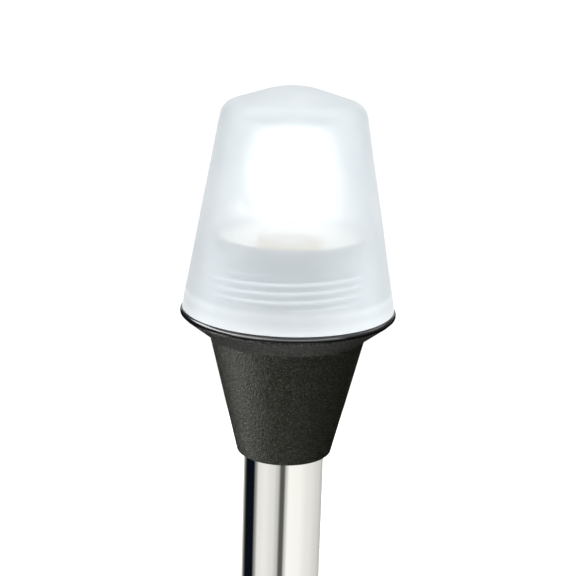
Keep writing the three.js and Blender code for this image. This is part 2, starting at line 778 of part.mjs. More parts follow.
const glandRing = () =>
  turned(outline([
    [BORE_R - 0.15, SPIGOT_TOP + TOUCH, 0.4],
    [SPIGOT_R - 0.2, SPIGOT_TOP + TOUCH],
    [SPIGOT_R - 0.2, GLAND_TOP],
    [BORE_R - 0.15, GLAND_TOP, 0.4],
  ]), MEDIUM);

const slipWasher = () => ring(BORE_R, SPIGOT_R + 0.4, GLAND_TOP + TOUCH, WASHER_TOP, MEDIUM);

function lockingCollar() {
  const bore = SPIGOT_R + RING_THREAD_DEPTH + RING_THREAD_GAP;
  const corners = [
    [bore, RING_FOOT],
    [RING_R, RING_FOOT, 0.8],
    [RING_R, RING_TOP - 3, 1],
    [RING_R - 3.5, RING_TOP, 1],
    [BORE_R, RING_TOP, 0.4],
    [BORE_R, WASHER_TOP + TOUCH],
    [bore, WASHER_TOP + TOUCH],
  ];
  const thread = ridges(1, {
    ...ringThread,
    root: bore + ROOT_SUNK,
    crest: SPIGOT_R + RING_THREAD_GAP,
    foot: RING_THREAD_FOOT + RING_THREAD_PITCH / 2,
    turns: 1.5,
  });
  const scallopR = 1.7;
  const scallopTop = RING_TOP - 4.5;
  const scallops = Array.from({ length: RING_SCALLOPS }, (_, k) =>
    rod(scallopR, RING_FOOT - 1, scallopTop, TINY)
      .translate(RING_R + 1, 0, 0)
      .rotateZ((k * TURN) / RING_SCALLOPS));
  return combine(turned(outline(corners), MEDIUM), { add: thread, cut: scallops });
}

// ---------- the pieces ----------
part("globe", "frosted", globe(), RIM_Z);
part("globe_seal", "rubber", globeSeal(), RIM_Z);
part("head_housing", "blackPlastic", headHousing(), RIM_Z);
part("collar_screw", "steel", collarScrew(), RIM_Z);
part("lamp_plate", "nylon", lampPlate(), RIM_Z);
part("plate_screw_left", "steel", plateScrew(-1), RIM_Z);
part("plate_screw_right", "steel", plateScrew(1), RIM_Z);
part("socket_shell", "brass", socketShell(), RIM_Z);
part("reflector", "enamel", reflector(), RIM_Z);
part("bulb_cap", "brass", bulbCap(), RIM_Z);
part("cap_insulator", "darkGlass", capInsulator(), RIM_Z);
part("bulb_glass", "glass", bulbGlass(), RIM_Z);
part("filament_mount", "glass", filamentMount(), RIM_Z);
part("filament", "tungsten", filament(), RIM_Z);

part("pole_tube", "polished", poleTube());
part("plug_insert", "nylon", plugInsert());
part("plug_o_ring", "rubber", plugSeal());

part("base_gasket", "rubber", baseGasket());
part("deck_base", "blackPlastic", deckBase());
part("contact_carrier", "nylon", contactCarrier());
part("gland_ring", "rubber", glandRing());
part("slip_washer", "steel", slipWasher());
part("locking_collar", "blackPlastic", lockingCollar());

for (const { pole, side, insulation } of POLES) {
  part(`contact_barrel_${pole}`, "brass", contactBarrel(side), RIM_Z);
  part(`contact_plunger_${pole}`, "brass", contactPlunger(side), RIM_Z);
  part(`contact_spring_${pole}`, "steel", contactSpring(side), RIM_Z);
  part(`cap_contact_${pole}`, "solder", capContact(side), RIM_Z);
  part(`wire_${pole}`, insulation, tubeWire(side));
  part(`plug_pin_${pole}`, "brass", plugPin(side));
  part(`socket_contact_${pole}`, "brass", socketContact(side));
  part(`terminal_screw_${pole}`, "steel", terminalScrew(side));
}

export default light;
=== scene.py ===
import bpy
import bmesh
import json
import math
from mathutils import Matrix, Vector


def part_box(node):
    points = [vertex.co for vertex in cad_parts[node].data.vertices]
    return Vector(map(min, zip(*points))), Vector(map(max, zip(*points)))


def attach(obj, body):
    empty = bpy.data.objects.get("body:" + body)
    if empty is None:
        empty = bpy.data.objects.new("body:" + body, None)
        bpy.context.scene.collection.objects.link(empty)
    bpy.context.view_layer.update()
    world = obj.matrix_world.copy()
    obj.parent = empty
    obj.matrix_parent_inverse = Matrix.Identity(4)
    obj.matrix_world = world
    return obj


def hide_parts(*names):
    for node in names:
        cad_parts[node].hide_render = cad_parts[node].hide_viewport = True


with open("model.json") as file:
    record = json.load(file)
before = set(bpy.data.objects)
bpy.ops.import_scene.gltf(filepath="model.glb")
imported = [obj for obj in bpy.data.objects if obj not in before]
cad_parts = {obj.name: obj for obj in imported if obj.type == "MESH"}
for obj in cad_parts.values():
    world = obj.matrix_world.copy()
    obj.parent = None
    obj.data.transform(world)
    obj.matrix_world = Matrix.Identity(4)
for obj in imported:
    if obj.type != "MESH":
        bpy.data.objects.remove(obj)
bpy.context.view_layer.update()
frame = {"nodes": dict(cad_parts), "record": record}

MM = 0.001
TURN = 2 * math.pi
FRONT = -math.pi / 2  # compass angle of the side that faces -Y
REAR = math.pi / 2
FINE = 192  # sides of the large round pieces
MEDIUM = 128
SMALL = 48
SHARP = 32  # degrees; where faces meet at a larger angle, the edge is shaded sharp
WELD = 1e-7  # metres; vertices closer than this become one
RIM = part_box("globe")[0][2] / MM  # the globe's lower edge; heights in the head are measured from it


# ---------- meshes; all sizes in millimetres ----------
def outline(corners, steps=6):
    """Points of a profile from corners (r, z, radius); a corner with a radius is rounded."""
    points = []
    for i, corner in enumerate(corners):
        at = Vector(corner[:2])
        if len(corner) < 3:
            points.append(at)
            continue
        radius = corner[2]
        a = (Vector(corners[i - 1][:2]) - at).normalized()
        b = (Vector(corners[(i + 1) % len(corners)][:2]) - at).normalized()
        half = a.angle(b) / 2
        centre = at + (a + b).normalized() * (radius / math.sin(half))
        start = at + a * (radius / math.tan(half)) - centre
        end = at + b * (radius / math.tan(half)) - centre
        first = math.atan2(start.y, start.x)
        sweep = (math.atan2(end.y, end.x) - first + math.pi) % TURN - math.pi
        for k in range(steps + 1):
            angle = first + sweep * k / steps
            points.append(centre + radius * Vector((math.cos(angle), math.sin(angle))))
    return points


def around(radius, count, start=0.0):
    """Places (x, y) spaced evenly on a circle."""
    angles = [start + k * TURN / count for k in range(count)]
    return [(radius * math.cos(a), radius * math.sin(a)) for a in angles]


def new_object(name, bm, sharp=SHARP):
    bmesh.ops.remove_doubles(bm, verts=bm.verts, dist=WELD)
    bmesh.ops.recalc_face_normals(bm, faces=bm.faces)
    mesh = bpy.data.meshes.new(name)
    bm.to_mesh(mesh)
    bm.free()
    mesh.shade_smooth()
    mesh.set_sharp_from_angle(angle=math.radians(sharp))
    obj = bpy.data.objects.new(name, mesh)
    bpy.context.scene.collection.objects.link(obj)
    return obj


def add_turned(bm, profile, sides=MEDIUM, lift=0.0, centre=(0.0, 0.0)):
    """Adds a solid of revolution whose profile closes on itself or ends on the axis."""
    on_axis = 1e-6
    rings = []
    for r, height in profile:
        z = (height + lift) * MM
        places = around(r, sides) if r > on_axis else [(0.0, 0.0)]
        rings.append([bm.verts.new(((centre[0] + x) * MM, (centre[1] + y) * MM, z)) for x, y in places])
    closed = len(rings[0]) > 1
    pairs = list(zip(rings, rings[1:])) + ([(rings[-1], rings[0])] if closed else [])
    for low, high in pairs:
        for k in range(sides):
            n = (k + 1) % sides
            quad = [low[k % len(low)], low[n % len(low)], high[n % len(high)], high[k % len(high)]]
            face = list(dict.fromkeys(quad))
            if len(face) > 2:
                bm.faces.new(face)


# Half-round section of a thread's ridge: share of its height, and place across its width.
RIDGE_SECTION = [(0.0, -0.5), (0.6, -0.36), (0.9, -0.2), (1.0, 0.0), (0.9, 0.2), (0.6, 0.36), (0.0, 0.5)]
RIDGE_STEPS = 96  # in one turn
RIDGE_END = 0.4  # height at a ridge's ends, as a share of its full height
RIDGE_FADE = 0.08  # share of the length in which a ridge would rise from nothing
RIDGE_TAPER = 0.4  # how much of the difference between its two widths the section takes up


def add_ridge(bm, root, crest, foot, lead, turns, root_width, crest_width, start=FRONT, lift=0.0):
    """Adds one helical thread ridge with a rounded crest that fades at both ends."""
    steps = round(RIDGE_STEPS * turns)
    outward = 1 if crest > root else -1
    rings = []
    for i in range(steps + 1):
        along = i / steps
        fullness = min(1.0, RIDGE_END + min(along, 1 - along) / RIDGE_FADE)
        angle = start + along * turns * TURN
        ring = []
        for rise, side in RIDGE_SECTION:
            radius = root + (crest - root) * rise * fullness
            width = root_width + (crest_width - root_width) * rise * RIDGE_TAPER
            z = foot + lift + along * turns * lead + side * width * outward
            ring.append(bm.verts.new((radius * math.cos(angle) * MM, radius * math.sin(angle) * MM, z * MM)))
        rings.append(ring)
    count = len(RIDGE_SECTION)
    for low, high in zip(rings, rings[1:]):
        for k in range(count):
            n = (k + 1) % count
            bm.faces.new((low[k], low[n], high[n], high[k]))
    bm.faces.new(rings[0])
    bm.faces.new(rings[-1])


def add_thread(obj, **ridge):
    """Lays a ridge on a piece that is already made."""
    bm = bmesh.new()
    bm.from_mesh(obj.data)
    add_ridge(bm, **ridge)
    bm.to_mesh(obj.data)
    bm.free()
    obj.data.set_sharp_from_angle(angle=math.radians(SHARP))


def turned_object(name, corners, sides=MEDIUM, lift=0.0, steps=6, sharp=SHARP):
    bm = bmesh.new()
    add_turned(bm, outline(corners, steps), sides, lift)
    return new_object(name, bm, sharp)


def boolean(obj, tool, operation):
    modifier = obj.modifiers.new("cut", "BOOLEAN")
    modifier.object = tool
    modifier.operation = operation
    modifier.solver = "EXACT"
    bpy.context.view_layer.objects.active = obj
    bpy.ops.object.modifier_apply(modifier=modifier.name)
    bpy.data.objects.remove(tool)
    obj.data.shade_smooth()
    obj.data.set_sharp_from_angle(angle=math.radians(SHARP))


def cut_rods(obj, places, profile, sides=SMALL):
    """Cuts the same upright turned hole at several (x, y) places."""
    bm = bmesh.new()
    for place in places:
        add_turned(bm, outline(profile), sides, 0.0, place)
    boolean(obj, new_object("hole_tool", bm), "DIFFERENCE")


# ---------- materials ----------
class Shader:
    """A small builder for node materials."""

    def __init__(self, name):
        self.material = bpy.data.materials.new(name)
        self.material.use_nodes = True
        self.tree = self.material.node_tree
        self.tree.nodes.clear()
        self.output = self.tree.nodes.new("ShaderNodeOutputMaterial")
        self.place = self.tree.nodes.new("ShaderNodeTexCoord").outputs["Object"]

    def add(self, kind, inputs, **settings):
        node = self.tree.nodes.new("ShaderNode" + kind)
        for key, value in settings.items():
            setattr(node, key, value)
        for key, value in inputs.items():
            if isinstance(value, bpy.types.NodeSocket):
                self.tree.links.new(value, node.inputs[key])
            else:
                node.inputs[key].default_value = value
        return node

    def math(self, operation, a, b=0.0):
        return self.add("Math", {0: a, 1: b}, operation=operation).outputs[0]

    def times(self, a, b):
        return self.math("MULTIPLY", a, b)

    def plus(self, a, b):
        return self.math("ADD", a, b)

    def axes(self):
        return self.add("SeparateXYZ", {0: self.place}).outputs

    def height(self):
        """Height over the globe's lower edge, in millimetres."""
        return self.math("SUBTRACT", self.math("DIVIDE", self.axes()[2], MM), RIM)

    def radius(self):
        """Distance from the upright axis, in millimetres."""
        x, y, _ = self.axes()
        square = self.plus(self.math("POWER", x, 2), self.math("POWER", y, 2))
        return self.math("DIVIDE", self.math("SQRT", square), MM)

    def noise(self, size, detail, stretch=(1, 1, 1)):
        """Noise whose features are about size millimetres across."""
        mapping = self.add("Mapping", {"Vector": self.place, "Scale": stretch})
        inputs = {"Vector": mapping.outputs[0], "Scale": 1 / (size * MM), "Detail": detail}
        return self.add("TexNoise", inputs).outputs["Fac"]

    def ramp(self, value, low, high, to_low=0.0, to_high=1.0):
        inputs = {"Value": value, "From Min": low, "From Max": high, "To Min": to_low, "To Max": to_high}
        return self.add("MapRange", inputs).outputs[0]

    def mix(self, factor, a, b):
        return self.add("Mix", {0: factor, 6: a, 7: b}, data_type="RGBA").outputs[2]

    def bump(self, pattern, strength, depth):
        """A surface normal from a pattern of the given depth in millimetres."""
        return self.add("Bump", {"Height": pattern, "Strength": strength, "Distance": depth * MM}).outputs[0]

    def emission(self, colour, strength):
        return self.add("Emission", {"Color": colour, "Strength": strength}).outputs[0]

    def blend(self, factor, a, b):
        """One shader over another."""
        return self.add("MixShader", {0: factor, 1: a, 2: b}).outputs[0]

    def sum(self, a, b):
        """Two shaders' light together."""
        return self.add("AddShader", {0: a, 1: b}).outputs[0]

    def principled(self, colour, gloss, normal, **more):
        inputs = {"Base Color": colour, "Roughness": gloss, "Normal": normal, **more}
        return self.add("BsdfPrincipled", inputs).outputs[0]

    def finish(self, surface):
        self.tree.links.new(surface, self.output.inputs["Surface"])
        return self.material


def rgb(r, g, b):
    """A linear colour from sRGB values of 0 to 255."""
    def linear(v):
        v /= 255
        return v / 12.92 if v <= 0.04045 else ((v + 0.055) / 1.055) ** 2.4
    return (linear(r), linear(g), linear(b), 1)


def plain(name, dark, light, gloss, bump=0.05, bump_size=0.3, **more):
    """A moulded, cast or drawn surface: two-tone variation, uneven gloss and a fine bump."""
    s = Shader(name)
    broad = s.noise(6.0, 3.0)
    fine = s.noise(0.5, 5.0)
    colour = s.mix(s.ramp(broad, 0.35, 0.65), dark, light)
    roughness = s.ramp(s.plus(broad, fine), 0.7, 1.3, *gloss)
    normal = s.bump(s.noise(bump_size, 3.0), bump, 0.05)
    return s.finish(s.principled(colour, roughness, normal, **more))


def grained_black():
    """Black moulded plastic with a fine leathery grain."""
    s = Shader("black_grained")
    cloud = s.noise(0.9, 2.0)
    # The grain's cells, pushed about so that they are uneven.
    inputs = {"Vector": s.place, "Scale": 1 / (0.8 * MM), "Detail": 2.0}
    scatter = s.add("TexNoise", inputs).outputs["Color"]
    offset = s.add("VectorMath", {0: scatter, "Scale": 0.35 * MM}, operation="SCALE").outputs[0]
    shifted = s.add("VectorMath", {0: s.place, 1: offset}, operation="ADD").outputs[0]
    inputs = {"Vector": shifted, "Scale": 1 / (0.62 * MM), "Smoothness": 0.6}
    cells = s.add("TexVoronoi", inputs, feature="SMOOTH_F1").outputs["Distance"]
    fine = s.noise(0.3, 2.0)
    normal = s.bump(s.plus(s.times(cells, 0.6), s.times(fine, 0.8)), 1.0, 0.2)
    # Painted light: the grain's crests are painted paler as highlights, and the dish's underside is painted
    # paler as if lit from below, its crests most of all.
    dish_painted_light = s.ramp(s.radius(), 18.0, 18.6)
    colour = s.mix(s.ramp(cloud, 0.3, 0.7), rgb(17, 19, 6), rgb(24, 26, 13))
    colour = s.mix(s.times(dish_painted_light, 0.8), colour, rgb(26, 27, 22))
    painted_crest_glints = s.times(s.ramp(fine, 0.5, 0.66), s.plus(0.45, s.times(dish_painted_light, 0.4)))
    colour = s.mix(painted_crest_glints, colour, s.mix(dish_painted_light, rgb(90, 91, 82), rgb(102, 102, 99)))
    return s.finish(s.principled(colour, s.ramp(cells, 0.1, 0.7, 0.28, 0.45), normal))


def frosted():
    """Frosted plastic: part of the light is scattered back, the rest goes through blurred."""
    s = Shader("frosted_globe")
    height = s.height()
    cloud = s.noise(9.0, 2.0)
    normal = s.bump(s.noise(0.12, 2.0), 0.12, 0.02)
    body = s.mix(s.ramp(cloud, 0.3, 0.7), rgb(218, 225, 230), rgb(223, 229, 233))
    scatter = s.add("BsdfDiffuse", {"Color": body, "Normal": normal}).outputs[0]
    through = s.add("BsdfTranslucent", {"Color": (0.985, 0.985, 0.975, 1), "Normal": normal}).outputs[0]
    inputs = {"Color": (0.99, 0.995, 0.995, 1), "Roughness": 0.28, "IOR": 1.25, "Normal": normal}
    passing = s.blend(0.75, through, s.add("BsdfGlass", inputs).outputs[0])
    # Frosted glass hides more the more obliquely it is looked through, and least just above the neck.
    slant = s.add("LayerWeight", {"Blend": 0.5}).outputs["Facing"]
    above_neck = s.times(s.ramp(height, 15.5, 19.0), s.ramp(height, 38.0, 19.0))
    hidden_from = s.plus(0.38, s.times(above_neck, 0.2))
    frosting = s.ramp(slant, 0.03, hidden_from, 0.38, 0.8)
    wall = s.blend(frosting, passing, scatter)
    # Painted light: the foot and a line over it are made to glow faintly, as light piped down the wall would.
    foot = s.ramp(height, 3.8, 0.7)
    painted_glow_line = s.times(s.ramp(height, 2.6, 3.9), s.ramp(height, 5.2, 4.2))
    level = s.plus(s.times(foot, 0.14), s.times(painted_glow_line, 0.1))
    wall = s.sum(wall, s.emission((1.0, 0.99, 0.97, 1), level))
    # Painted light: the thread's ridges inside the foot are thick, and are painted to glow pale, less towards
    # the globe's edges.
    in_thread = s.times(s.ramp(height, 3.8, 5.6), s.ramp(height, 12.4, 11.0))
    painted_ridge_glow = s.times(s.ramp(s.radius(), 20.15, 19.2), in_thread)
    painted_ridge_glow = s.times(painted_ridge_glow, s.ramp(slant, 0.9, 0.45))
    wall = s.sum(wall, s.emission((0.93, 0.97, 1.0, 1), s.times(painted_ridge_glow, 0.3)))
    sheen = s.add("BsdfGlossy", {"Color": (1, 1, 1, 1), "Roughness": 0.28, "Normal": normal}).outputs[0]
    edge = s.add("Fresnel", {"IOR": 1.4, "Normal": normal}).outputs[0]
    return s.finish(s.blend(s.times(edge, 0.3), wall, sheen))


def mirror_tube():
    """Mirror-polished metal with faint polishing lines round it and light smears."""
    s = Shader("polished_tube")
    smear = s.noise(14.0, 4.0, (1, 1, 0.35))
    lines = s.noise(0.5, 2.0, (0.05, 0.05, 3.0))
    gloss = s.ramp(s.plus(smear, s.times(lines, 0.3)), 0.45, 0.95, 0.025, 0.07)
    colour = s.mix(s.ramp(smear, 0.3, 0.7), rgb(246, 245, 241), rgb(250, 250, 248))
    return s.finish(s.principled(colour, gloss, s.bump(lines, 0.03, 0.01), Metallic=1.0))


def bulb_glass():
    """Clear glass with a faint warm glow."""
    s = Shader("clear_glass")
    ripple = s.noise(5.0, 2.0)
    gloss = s.ramp(ripple, 0.3, 0.7, 0.02, 0.05)
    more = {
        "Transmission Weight": 1.0, "IOR": 1.2,
        "Emission Color": (1.0, 0.97, 0.92, 1), "Emission Strength": 0.12,
    }
    return s.finish(s.principled((0.97, 0.985, 0.99, 1), gloss, s.bump(ripple, 0.05, 0.1), **more))


# Painted light: the white enamel reflector is made to glow warm, standing in for the lamp's light on it.
painted_lamp_glow = {"Emission Color": (1.0, 0.95, 0.86, 1), "Emission Strength": 0.9}
# Two tones and a range of roughness, then the bump and what else the shader is told.
plain_looks = {
    "black_gloss": [rgb(8, 9, 11), rgb(13, 14, 16), (0.12, 0.2), {"bump": 0.03, "IOR": 1.7}],
    "black_rubber": [rgb(20, 20, 21), rgb(31, 31, 32), (0.55, 0.75), {"bump": 0.3, "bump_size": 0.2}],
    "nylon": [rgb(222, 217, 203), rgb(235, 231, 219), (0.42, 0.55), {"bump": 0.08}],
    "white_enamel": [rgb(240, 236, 226), rgb(247, 244, 236), (0.2, 0.32), painted_lamp_glow],
    "red_insulation": [rgb(150, 22, 16), rgb(178, 34, 24), (0.32, 0.46), {"bump": 0.1}],
    "black_insulation": [rgb(18, 18, 19), rgb(30, 30, 31), (0.32, 0.46), {"bump": 0.1}],
    "dark_glass": [rgb(10, 10, 12), rgb(20, 20, 24), (0.1, 0.2), {"bump_size": 1.0}],
}
metal_looks = {
    "brass": [rgb(196, 158, 84), rgb(216, 182, 108), (0.22, 0.38), {"bump": 0.08, "bump_size": 0.15}],
    "steel": [rgb(176, 178, 180), rgb(205, 206, 208), (0.24, 0.4), {"bump": 0.1, "bump_size": 0.12}],
    "solder": [rgb(150, 152, 155), rgb(188, 190, 192), (0.28, 0.5), {"bump": 0.3, "bump_size": 0.5}],
    "filament_wire": [rgb(120, 116, 110), rgb(160, 154, 146), (0.3, 0.5), {"bump_size": 0.05}],
}
looks = {
    "frosted_globe": frosted(),
    "black_grained": grained_black(),
    "polished_tube": mirror_tube(),
    "clear_glass": bulb_glass(),
}
for name, (*tones, more) in plain_looks.items():
    looks[name] = plain(name, *tones, **more)
for name, (*tones, more) in metal_looks.items():
    looks[name] = plain(name, *tones, Metallic=1.0, **more)
slots = {entry["node"]: entry["material_slot"] for entry in frame["record"]["subparts"]}

for node, obj in frame["nodes"].items():
    for slot in obj.material_slots:
        slot.material = looks[slots[node]]


def stand_for(obj, node, body):
    """Gives a finer piece the finish of the CAD node that it stands for."""
    obj.data.materials.clear()
    obj.data.materials.append(looks[slots[node]])
    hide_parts(node)
    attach(obj, body)


# ---------- globe ----------
GLOBE_R = 24.6  # at the lower edge
GLOBE_SLOPE = 0.18  # radius lost per unit of height
GLOBE_WALL = 2.2
SHOULDER = 46.9  # where the side and the conical top would meet
SHOULDER_ROUND = 4.4
CROWN_DROP = GLOBE_WALL * 0.85  # from the outer shoulder down to the inner one
TOP_ANGLE = math.radians(17.3)
TIP_ROUND = 21.0
NECK_R = 18.5
NECK_TOP = 17.4
GLOBE_THREAD_DEPTH = 1.3
GLOBE_THREAD_GAP = 0.5  # from a ridge's crest to the wall it faces
NECK_CREST_R = NECK_R + GLOBE_THREAD_DEPTH
GLOBE_BORE_R = NECK_CREST_R + GLOBE_THREAD_GAP
GLOBE_CREST_R = NECK_R + GLOBE_THREAD_GAP
ROOT_SUNK = 0.3  # how far a ridge's root lies inside the wall it stands on
THREAD_STARTS = [FRONT, FRONT + math.pi]
THREAD_FOOT = 3.5
head_thread = {"lead": 3.9, "root_width": 1.05, "crest_width": 0.45, "lift": RIM}


def cone_tip(radius, peak, steps=8):
    """The rounded tip of the conical top, from the axis outwards."""
    centre = peak - radius / math.cos(TOP_ANGLE)
    angles = [TOP_ANGLE * k / steps for k in range(steps + 1)]
    return [Vector((radius * math.sin(a), centre + radius * math.cos(a))) for a in angles]


def globe():
    fall = math.tan(TOP_ANGLE)
    shoulder_r = GLOBE_R - GLOBE_SLOPE * SHOULDER
    peak = SHOULDER + shoulder_r * fall
    inner_shoulder = SHOULDER - CROWN_DROP
    inner_r = GLOBE_R - GLOBE_WALL - GLOBE_SLOPE * inner_shoulder
    inner_peak = inner_shoulder + inner_r * fall
    bore_top = (GLOBE_R - GLOBE_WALL - GLOBE_BORE_R) / GLOBE_SLOPE
    inside = outline([
        (0, inner_peak), (inner_r, inner_shoulder, SHOULDER_ROUND), (GLOBE_BORE_R, bore_top, 3.0),
        (GLOBE_BORE_R, 0),
    ], 10)[1:]
    outside = outline([
        (GLOBE_BORE_R, 0), (GLOBE_R, 0, 0.2), (shoulder_r, SHOULDER, SHOULDER_ROUND), (0, peak),
    ], 12)[1:-1]
    inner_tip = cone_tip(TIP_ROUND - GLOBE_WALL, inner_peak)
    bm = bmesh.new()
    add_turned(bm, inner_tip + inside + outside + cone_tip(TIP_ROUND, peak)[::-1], FINE, RIM)
    shell = new_object("globe_lens", bm)
    thread = bmesh.new()
    # Its ridges lie half-way between the neck's.
    foot = THREAD_FOOT + head_thread["lead"] / 4
    root = GLOBE_BORE_R + ROOT_SUNK
    for start in THREAD_STARTS:
        add_ridge(thread, root, GLOBE_CREST_R, foot, turns=2.0, start=start, **head_thread)
    boolean(shell, new_object("thread_tool", thread), "UNION")
    return shell


lens = globe()
stand_for(lens, "globe", "globe")

# ---------- seal ----------
SEAL_R = 25
SEAL_FOOT = -1.3
SEAL_TOP = -0.05
seal_ring = turned_object(
    "globe_seal_ring",
    [(GLOBE_BORE_R, SEAL_FOOT), (SEAL_R, SEAL_FOOT, 0.25), (SEAL_R, SEAL_TOP, 0.92),
     (GLOBE_BORE_R, SEAL_TOP)],
    FINE, RIM, 8, 50,
)
stand_for(seal_ring, "globe_seal", "seal")

# ---------- dish, collar and neck ----------
TUBE_R = 19.05 / 2
TUBE_WALL = 1.2
TUBE_STOP = -11.95  # the ledge that the tube's top end meets
SHELF = -1.35  # top of the dish
DISH_R = 24.4
DISH_EDGE = 0.4  # its thickness
COLLAR_HEAD_R = 18.2
COLLAR_HEAD = -6.5
COLLAR_FOOT_R = 11.2
COLLAR_FOOT = -35.2
NECK_BORE_R = 16.4
CAVITY_R = 14.6  # below the neck's bore, for the lamp plate
CAVITY_TOP = -4
CAVITY_FLOOR = -9
WIRE_WAY_R = 6.3  # hole from the cavity down into the tube
COLLAR_SCREW_Z = -24
COLLAR_SCREW_HOLE_R = 2.05


def head_housing():
    bore = TUBE_R + 0.1
    corners = [
        (bore, COLLAR_FOOT, 0.15), (COLLAR_FOOT_R, COLLAR_FOOT, 0.25), (COLLAR_HEAD_R, COLLAR_HEAD, 0.25),
        (DISH_R, SHELF - DISH_EDGE, 0.15), (DISH_R, SHELF), (NECK_R, SHELF), (NECK_R, NECK_TOP, 0.6),
        (NECK_BORE_R, NECK_TOP, 0.4), (NECK_BORE_R, CAVITY_TOP), (CAVITY_R, CAVITY_TOP),
        (CAVITY_R, CAVITY_FLOOR), (WIRE_WAY_R, CAVITY_FLOOR), (WIRE_WAY_R, TUBE_STOP), (bore, TUBE_STOP),
    ]
    bm = bmesh.new()
    add_turned(bm, outline(corners), FINE, RIM)
    for start in THREAD_STARTS:
        add_ridge(bm, NECK_R - ROOT_SUNK, NECK_CREST_R, THREAD_FOOT, turns=1.75, start=start, **head_thread)
    obj = new_object("dish_and_collar", bm)
    hole = bmesh.new()
    r = COLLAR_SCREW_HOLE_R
    add_turned(hole, outline([(0, 9), (r, 9), (r, 20), (0, 20)]), SMALL)
    bmesh.ops.rotate(hole, verts=hole.verts, matrix=Matrix.Rotation(-math.pi / 2, 3, "X"))
    bmesh.ops.translate(hole, verts=hole.verts, vec=(0, 0, (RIM + COLLAR_SCREW_Z) * MM))
    boolean(obj, new_object("screw_tool", hole), "DIFFERENCE")
    return obj


housing = head_housing()
stand_for(housing, "head_housing", "pole")

# ---------- tube ----------
tube_foot, tube_top = (corner[2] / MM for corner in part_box("pole_tube"))
tube = turned_object(
    "tube",
    [(TUBE_R - TUBE_WALL, tube_foot, 0.2), (TUBE_R, tube_foot, 0.3), (TUBE_R, tube_top, 0.3),
     (TUBE_R - TUBE_WALL, tube_top, 0.2)],
    FINE,
)
stand_for(tube, "pole_tube", "pole")

# ---------- deck socket ----------
GASKET_TOP = 1.5
GASKET_BORE_R = 14
GASKET_R = 31.4
FLANGE_R = 32
FLANGE_FOOT = 1.55
FLANGE_TOP = 6
BOSS_FOOT_R = 16.8
BOSS_TOP_R = 15.2
BOSS_TOP = 26
SPIGOT_R = 12.9
SPIGOT_TOP = 40
MOUTH_R = 9.95
RECESS_R = 12.6  # for the contact carrier, under the spigot's bore
RECESS_TOP = 12.05
SCREW_CIRCLE_R = 25
SCREW_COUNT = 3
SCREW_HOLE_R = 2.25
SCREW_HEAD_R = 4.3
GASKET_HOLE_R = SCREW_HOLE_R + 0.3
GRIP_R = 17.5
GRIP_BORE_R = 14.3
GRIP_FOOT = 26.5
GRIP_LEDGE = 44.05  # above it only the washer's bore goes on
GRIP_TOP = 47
GRIP_SCALLOPS = 18
RING_THREAD_DEPTH = 1
SPIGOT_THREAD_FOOT = 29
GRIP_THREAD_FOOT = 30.5
screw_places = around(SCREW_CIRCLE_R, SCREW_COUNT, REAR)
ring_thread = {"lead": 3, "root_width": 1.4, "crest_width": 0.6}


def deck_base():
    base = turned_object("deck_flange", [
        (RECESS_R, FLANGE_FOOT), (FLANGE_R, FLANGE_FOOT, 0.3), (FLANGE_R, 4.5, 1.4), (29, FLANGE_TOP, 2.0),
        (BOSS_FOOT_R, FLANGE_TOP, 1.6), (BOSS_TOP_R, BOSS_TOP, 0.6), (SPIGOT_R, BOSS_TOP),
        (SPIGOT_R, SPIGOT_TOP, 0.5), (MOUTH_R, SPIGOT_TOP, 0.5), (MOUTH_R, RECESS_TOP),
        (RECESS_R, RECESS_TOP),
    ], FINE)
    over = FLANGE_TOP + 1
    cut_rods(base, screw_places, [
        (0, 0), (SCREW_HOLE_R, 0), (SCREW_HOLE_R, 4), (SCREW_HEAD_R, FLANGE_TOP), (SCREW_HEAD_R, over),
        (0, over),
    ])
    root = SPIGOT_R - ROOT_SUNK
    crest = SPIGOT_R + RING_THREAD_DEPTH
    add_thread(base, root=root, crest=crest, foot=SPIGOT_THREAD_FOOT, turns=2.75, **ring_thread)
    return base


def gasket():
    ring = turned_object("deck_gasket", [
        (GASKET_BORE_R, 0, 0.2), (GASKET_R, 0, 0.3), (GASKET_R, GASKET_TOP, 0.3),
        (GASKET_BORE_R, GASKET_TOP, 0.2),
    ], FINE)
    cut_rods(ring, screw_places, [(0, -1), (GASKET_HOLE_R, -1), (GASKET_HOLE_R, 3), (0, 3)])
    return ring


def locking_ring():
    ring = turned_object("grip_ring", [
        (GRIP_BORE_R, GRIP_FOOT, 0.3), (GRIP_R, GRIP_FOOT, 0.8), (GRIP_R, 44, 1.0), (14, GRIP_TOP, 1.0),
        (MOUTH_R, GRIP_TOP, 0.4), (MOUTH_R, GRIP_LEDGE), (GRIP_BORE_R, GRIP_LEDGE),
    ], FINE)
    scallop = [(0, 25), (1.7, 25), (1.7, 42.5, 0.8), (0, 42.5)]
    cut_rods(ring, around(GRIP_R + 1, GRIP_SCALLOPS), scallop, 32)
    root = GRIP_BORE_R + ROOT_SUNK
    crest = GRIP_BORE_R - RING_THREAD_DEPTH
    add_thread(ring, root=root, crest=crest, foot=GRIP_THREAD_FOOT, turns=1.5, **ring_thread)
    return ring


stand_for(deck_base(), "deck_base", "deck_socket")
stand_for(gasket(), "base_gasket", "deck_socket")
stand_for(locking_ring(), "locking_collar", "collar")

# ---------- studio; sizes in metres, azimuths in degrees: 0 is the camera's side and 90 the right ----------
FLOOR_HALF = 30
OVER_FLOOR = 0.001
CARD_STEP = 4  # degrees
WARM_GREY = Vector((1, 0.995, 0.965))
BLUE_BLACK = (0.003, 0.005, 0.009, 1)
BLACK_BELOW = 0.05  # a level under this is shown as the blue black


